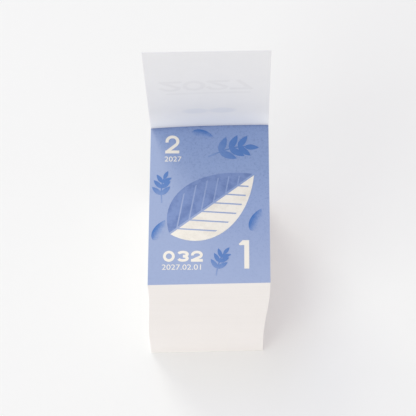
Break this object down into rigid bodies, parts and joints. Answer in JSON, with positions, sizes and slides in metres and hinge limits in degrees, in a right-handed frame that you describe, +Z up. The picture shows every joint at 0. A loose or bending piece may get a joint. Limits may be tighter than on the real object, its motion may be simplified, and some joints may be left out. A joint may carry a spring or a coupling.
{
  "type": "daily calendar",
  "caption": "Small tear-off day pad lying on its back: a thick stack of day sheets on a card, a printed blue day on top and one sheet folded up at the glued edge.",
  "frame": {"origin": "middle of the backing card's underside, where the pad rests", "axes": "+Z up through the stack to the printed day, +Y towards the glued edge, +X to the right of someone who reads the day"},
  "size_m": [0.0292, 0.043, 0.0844],
  "materials": {
    "pages": "uncoated cut edges",
    "card": "matte",
    "glue": "dried padding glue, satin",
    "sheet_white": "smooth, slightly see-through",
    "sheet_blue": "printed, slight sheen",
    "ink_cream": "printed, slight sheen",
    "ink_deep": "printed, slight sheen",
    "ink_wave": "printed, slight sheen"
  },
  "bodies": {
    "root": {"backing_card": "card", "page_block": "pages", "glue_film": "glue", "day_sheet": "sheet_blue", "lifted_sheet": "sheet_white", "month_2": "ink_cream", "day_1": "ink_cream", "count_digit_1": "ink_cream", "count_digit_2": "ink_cream", "count_digit_3": "ink_cream", "leaf_half_light": "ink_cream", "leaf_half_dark": "ink_deep", "small_leaf_1": "ink_wave", "small_leaf_2": "ink_wave", "small_leaf_3": "ink_wave", "sprig_1": "ink_wave", "sprig_2": "ink_wave", "sprig_3": "ink_wave"}
  },
  "joints": []
}
